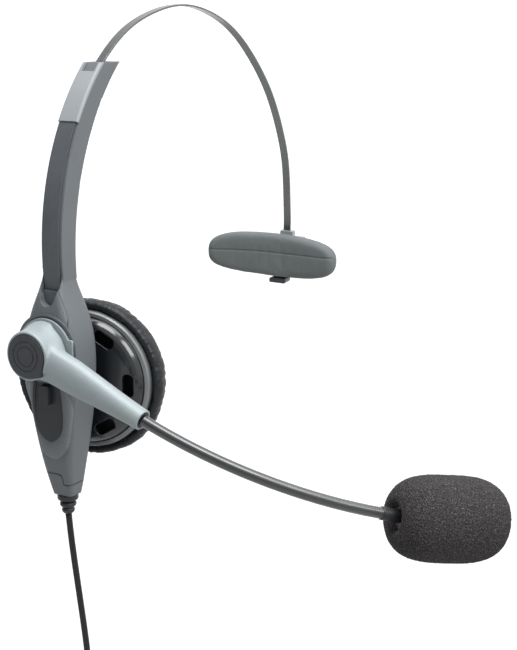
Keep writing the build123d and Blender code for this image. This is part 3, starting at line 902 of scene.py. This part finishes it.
pivot = hub(*CUP_PIVOT)
cushion = ring_piece(
    "cushion", cushion_profile(), pivot, CUP_AXIS, "ear_cup", CUSHION_SIDES,
)


def cup_place(at):
    """A point's distance along the cup's axis and out from it, in millimetres."""
    along = (at - pivot).dot(CUP_AXIS) / MM
    return along, ((at - pivot) - CUP_AXIS * along * MM).length / MM


def held_by_cup(at):
    """True where the cup's rim or seat holds the skin."""
    along, out = cup_place(at)
    return along < RIM_HOLD_ALONG or (along < SEAT_ALONG and out < SEAT_R)


subdivided(cushion, 1)
inflate(cushion, 3.0, 0.0008, held_by_cup)
subdivided(cushion, 1)
SIDE_AXIS = Vector((0, 0, 1)).cross(CUP_AXIS)


def wrinkles(at, _):
    """Creases that run from the seam over the rim, and a few soft lumps."""
    local = at - pivot
    along, out = cup_place(at)
    turn = math.atan2(local.z, local.dot(SIDE_AXIS))
    if out < HOLE_R + 1.5 and along < CUSHION_FACE - 4:
        return 0.0
    around = Vector((math.cos(turn), math.sin(turn), 0.0))
    wide = noise.noise(around * 3.4 + Vector((0, 0, along * 0.05)))
    fold = noise.noise(around * 11.0 + Vector((0, 0, along * 0.16)))
    fine = noise.noise(around * 30.0 + Vector((0, 0, along * 0.35)))
    crease = -abs(fold) * 0.42 - abs(fine) * 0.22 + 0.16
    near_edge = max(0.25, 1.0 - max(0.0, along - 9.5) / 5.0)
    return (crease * near_edge + 0.28 * wide - 0.12) * MM


displaced(cushion, wrinkles)
paint(cushion, leather)
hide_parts("ear_cushion")

# ---------------------------------------------------------------- temple pad

PAD_PLACE = hub(166.4, 0.0, 8.2)
PAD_YAW = Matrix.Rotation(math.radians(10.0), 4, "Z")
PAD_TURN = PAD_YAW @ Matrix.Rotation(math.radians(3.0), 4, "X")
PAD_BACK = 5.6                    # from PAD_PLACE to the pad's back
PAD_BACK_R = 97.0                 # of the back's curve, seen from above
PAD_HELD = 1.2                    # how deep the carrier holds the skin
PAD_VOXEL = 0.0009

pad = copy_of("pad_cushion", "temple_pad")
remeshed(pad, PAD_VOXEL, 4)
to_pad = (Matrix.Translation(PAD_PLACE) @ PAD_TURN).inverted()


def on_back(at):
    """True on the pad's curved back, which its carrier holds."""
    local = to_pad @ at
    sag = local.y**2 / (2 * PAD_BACK_R * MM)
    return local.x > -(PAD_BACK + PAD_HELD) * MM - sag


inflate(pad, 2.0, 0.0006, on_back)
subdivided(pad, 2)
SEAM_Z, SEAM_SLOPE, SEAM_HALF = 0.00145, 0.044, 0.0003


def pad_crease(at, normal):
    """The sewn fold along the pad's middle, and slight lumps."""
    local = to_pad @ at
    lump = noise.noise(at * 85.0) * 0.10 + noise.noise(at * 320.0) * 0.03
    if normal.dot(PAD_TURN.to_3x3() @ Vector((-1, 0, 0))) < 0.4:
        return (lump - 0.06) * MM
    bend = 0.0003 * math.sin(local.y * 90.0)
    off = (local.z - SEAM_Z + SEAM_SLOPE * local.y - bend) / SEAM_HALF
    groove = math.exp(-off * off) * 0.32
    soft = math.exp(-(off / 6.0) ** 2) * 0.1
    return (lump - groove - soft) * MM


displaced(pad, pad_crease)
paint(pad, pad_skin)
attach(pad, "pad_unit")
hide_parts("temple_pad")

# ---------------------------------------------------------------- room

DROP = 0.6                        # from the plug's end to the floor
FLOOR_HALF = 14.0
SCREEN_AWAY = 1.35                # from the hub, past where any view stands
SCREEN_HALF, SCREEN_HEIGHT = 2.7, 3.0
floor_z = CAD_BOX[0][2] - DROP
WHITE = (1.0, 1.0, 1.0, 1.0)


def stage_plane(name, middle, across, deep, grey, **values):
    """A rectangle of the stage: its middle and its two half sides."""
    corners = [middle - across - deep, middle + across - deep]
    corners += [middle + across + deep, middle - across + deep]
    plane = add_mesh(name, corners, [(0, 1, 2, 3)], smooth=False)
    n = Nodes(name + "_paint")
    speck = n.noise(40.0, 2.0)
    tone = n.ramp(speck, [(0.3, (grey - 0.01,) * 3), (0.7, (grey + 0.01,) * 3)])
    paint(plane, n.finish(tone, n.spread(speck, 0.8, 0.9), **values))


stage_plane(
    "floor", Vector((0, 0, floor_z)), Vector((FLOOR_HALF, 0, 0)), Vector((0, FLOOR_HALF, 0)), 0.48,
)
# a white screen beyond the object, square to the camera's heading
level_way = Vector((CAMERA_WAY.x, CAMERA_WAY.y, 0.0)).normalized()
level_side = Vector((level_way.y, -level_way.x, 0.0))
screen_middle = hub(0, 0, 0) + level_way * SCREEN_AWAY
screen_middle.z = floor_z + SCREEN_HEIGHT / 2
stage_plane(
    "screen", screen_middle, level_side * SCREEN_HALF, Vector((0, 0, SCREEN_HEIGHT / 2)), 0.96,
    Emission_Color=WHITE, Emission_Strength=0.4,
)

bpy.context.scene.view_settings.view_transform = "Standard"


def room_light():
    """A pale room, brighter beyond the object than behind the viewer."""
    world = bpy.data.worlds.new("room")
    bpy.context.scene.world = world
    world.use_nodes = True
    tree = world.node_tree
    background = tree.nodes["Background"]
    place = tree.nodes.new("ShaderNodeTexCoord")
    dot = tree.nodes.new("ShaderNodeVectorMath")
    dot.operation = "DOT_PRODUCT"
    dot.inputs[1].default_value = (0.55, -0.45, 0.7)
    level = tree.nodes.new("ShaderNodeMapRange")
    limits = {"From Min": -0.5, "From Max": 0.5, "To Min": 0.07, "To Max": 0.95}
    for key, value in limits.items():
        level.inputs[key].default_value = value
    tree.links.new(place.outputs["Generated"], dot.inputs[0])
    tree.links.new(dot.outputs["Value"], level.inputs["Value"])
    tree.links.new(level.outputs["Result"], background.inputs["Strength"])
    background.inputs["Color"].default_value = WHITE


def add_light(kind, name, place, target, power, **values):
    """A lamp at a place, pointed at a target."""
    data = bpy.data.lights.new(name, kind)
    data.energy = power
    for key, value in values.items():
        setattr(data, key, value)
    light = bpy.data.objects.new(name, data)
    light.location = place
    light.rotation_euler = (Vector(target) - Vector(place)).to_track_quat("-Z", "Y").to_euler()
    bpy.context.scene.collection.objects.link(light)


room_light()
add_light("SUN", "sky", (0.1, -0.4, 3.0), (0, 0, 0), 1.7, angle=math.radians(50))
add_light("AREA", "key", (-0.1, -0.65, 0.5), (0.0, -0.02, -0.02), 2.6, size=0.35)
add_light("AREA", "top", (-0.12, -0.05, 0.55), (-0.02, -0.02, 0.0), 1.4, size=0.35)

bpy.context.view_layer.update()
